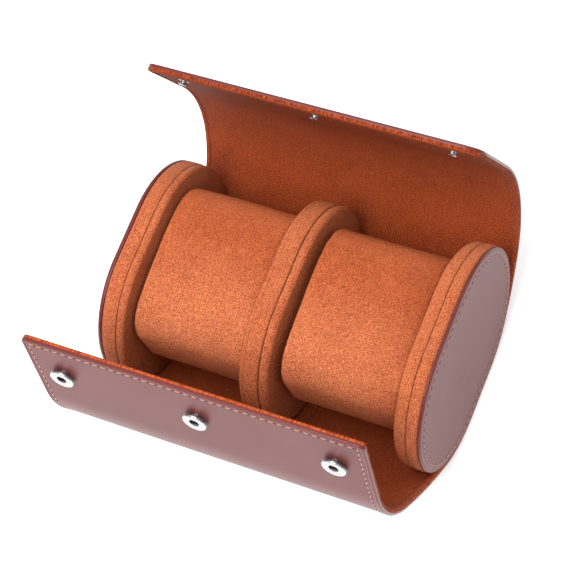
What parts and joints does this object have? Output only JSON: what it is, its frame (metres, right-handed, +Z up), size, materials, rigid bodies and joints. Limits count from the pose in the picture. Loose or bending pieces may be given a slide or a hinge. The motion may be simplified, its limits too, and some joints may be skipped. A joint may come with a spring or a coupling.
{
  "type": "watch box",
  "caption": "Roll-shaped watch box with stadium ends, a leather wrap with a suede lining that opens as two flaps, a padded divider and two lift-out cushions.",
  "frame": {"origin": "centre of the flat underside, on the table", "axes": "+X along the length, +Y towards the taller flap with the studs, +Z up"},
  "size_m": [0.1716, 0.1727, 0.1404],
  "materials": {
    "leather": "smooth, semi-gloss",
    "suede": "fine nap",
    "board": "matt greyboard",
    "foam": "matt foam",
    "nickel": "polished"
  },
  "bodies": {
    "case": {"base_leather": "leather", "base_lining": "suede", "base_board": "board", "end_cap_left": "leather", "end_cap_right": "leather", "end_board_left": "board", "end_board_right": "board", "end_foam_left": "foam", "end_foam_right": "foam", "end_suede_left": "suede", "end_suede_right": "suede", "divider_board": "board", "divider_foam_left": "foam", "divider_foam_right": "foam", "divider_suede_left": "suede", "divider_suede_right": "suede"},
    "cushion_left": {"cushion_core_left": "foam", "cushion_cover_left": "suede", "cushion_end_left": "suede"},
    "cushion_right": {"cushion_core_right": "foam", "cushion_cover_right": "suede", "cushion_end_right": "suede"},
    "front_strip_1": {"front_leather_1": "leather", "front_lining_1": "suede"},
    "front_strip_2": {"front_leather_2": "leather", "front_lining_2": "suede"},
    "front_strip_3": {"front_leather_3": "leather", "front_lining_3": "suede"},
    "front_strip_4": {"front_leather_4": "leather", "front_lining_4": "suede"},
    "front_strip_5": {"front_leather_5": "leather", "front_lining_5": "suede"},
    "front_edge_strip": {"front_leather_6": "leather", "front_lining_6": "suede", "snap_sockets": "nickel", "snap_springs": "nickel", "socket_rivets": "nickel"},
    "back_strip_1": {"back_leather_1": "leather", "back_lining_1": "suede"},
    "back_strip_2": {"back_leather_2": "leather", "back_lining_2": "suede"},
    "back_strip_3": {"back_leather_3": "leather", "back_lining_3": "suede"},
    "back_strip_4": {"back_leather_4": "leather", "back_lining_4": "suede"},
    "back_strip_5": {"back_leather_5": "leather", "back_lining_5": "suede"},
    "back_strip_6": {"back_leather_6": "leather", "back_lining_6": "suede"},
    "back_edge_strip": {"back_leather_7": "leather", "back_lining_7": "suede", "snap_studs": "nickel", "stud_rivets": "nickel"}
  },
  "joints": [
    {"name": "front_curl", "type": "hinge", "parent": "case", "child": "front_strip_1", "pos_m": [0, -0.04864, 0.01777], "axis": [1, 0, 0], "range_deg": [-13.4, 12.5]},
    {"name": "front_curl_2", "type": "hinge", "parent": "front_strip_1", "child": "front_strip_2", "pos_m": [0, -0.05995, 0.02908], "axis": [1, 0, 0], "range_deg": [-21.02, 19.61]},
    {"name": "front_curl_3", "type": "hinge", "parent": "front_strip_2", "child": "front_strip_3", "pos_m": [0, -0.07044, 0.04116], "axis": [1, 0, 0], "range_deg": [-14.02, 13.08]},
    {"name": "front_curl_4", "type": "hinge", "parent": "front_strip_3", "child": "front_strip_4", "pos_m": [0, -0.08074, 0.05588], "axis": [1, 0, 0], "range_deg": [-6.82, 6.36]},
    {"name": "front_curl_5", "type": "hinge", "parent": "front_strip_4", "child": "front_strip_5", "pos_m": [0, -0.0868, 0.07688], "axis": [1, 0, 0], "range_deg": [-4.42, 4.12]},
    {"name": "front_edge_bend", "type": "hinge", "parent": "front_strip_5", "child": "front_edge_strip", "pos_m": [0, -0.08458, 0.09866], "axis": [1, 0, 0], "range_deg": [-18.4, 18]},
    {"name": "back_curl", "type": "hinge", "parent": "case", "child": "back_strip_1", "pos_m": [0, 0.04376, 0.01266], "axis": [-1, 0, 0], "range_deg": [-11.92, 11.5]},
    {"name": "back_curl_2", "type": "hinge", "parent": "back_strip_1", "child": "back_strip_2", "pos_m": [0, 0.05647, 0.02237], "axis": [-1, 0, 0], "range_deg": [-17.89, 17.26]},
    {"name": "back_curl_3", "type": "hinge", "parent": "back_strip_2", "child": "back_strip_3", "pos_m": [0, 0.06849, 0.03434], "axis": [-1, 0, 0], "range_deg": [-7.53, 7.26]},
    {"name": "back_curl_4", "type": "hinge", "parent": "back_strip_3", "child": "back_strip_4", "pos_m": [0, 0.07796, 0.05074], "axis": [-1, 0, 0], "range_deg": [-0.87, 0.84]},
    {"name": "back_curl_5", "type": "hinge", "parent": "back_strip_4", "child": "back_strip_5", "pos_m": [0, 0.08265, 0.07415], "axis": [-1, 0, 0], "range_deg": [-1.95, 2.02]},
    {"name": "back_curl_6", "type": "hinge", "parent": "back_strip_5", "child": "back_strip_6", "pos_m": [0, 0.08139, 0.08806], "axis": [-1, 0, 0], "range_deg": [-15.88, 15.32]},
    {"name": "back_edge_bend", "type": "hinge", "parent": "back_strip_6", "child": "back_edge_strip", "pos_m": [0, 0.07762, 0.10154], "axis": [-1, 0, 0], "range_deg": [-20.99, 18]},
    {"name": "cushion_left_lift", "type": "slide", "parent": "case", "child": "cushion_left", "axis": [0, 0, 1], "range_m": [0, 0.09]},
    {"name": "cushion_right_lift", "type": "slide", "parent": "case", "child": "cushion_right", "axis": [0, 0, 1], "range_m": [0, 0.09]}
  ],
  "couplings": [
    {"joint": "front_curl_2", "follows": "front_curl", "ratio": 1.5672},
    {"joint": "front_curl_3", "follows": "front_curl", "ratio": 1.0448},
    {"joint": "front_curl_4", "follows": "front_curl", "ratio": 0.50746},
    {"joint": "front_curl_5", "follows": "front_curl", "ratio": 0.32836},
    {"joint": "back_curl_2", "follows": "back_curl", "ratio": 1.4992},
    {"joint": "back_curl_3", "follows": "back_curl", "ratio": 0.63003},
    {"joint": "back_curl_4", "follows": "back_curl", "ratio": 0.07131},
    {"joint": "back_curl_5", "follows": "back_curl", "ratio": -0.16779},
    {"joint": "back_curl_6", "follows": "back_curl", "ratio": 1.3305}
  ]
}
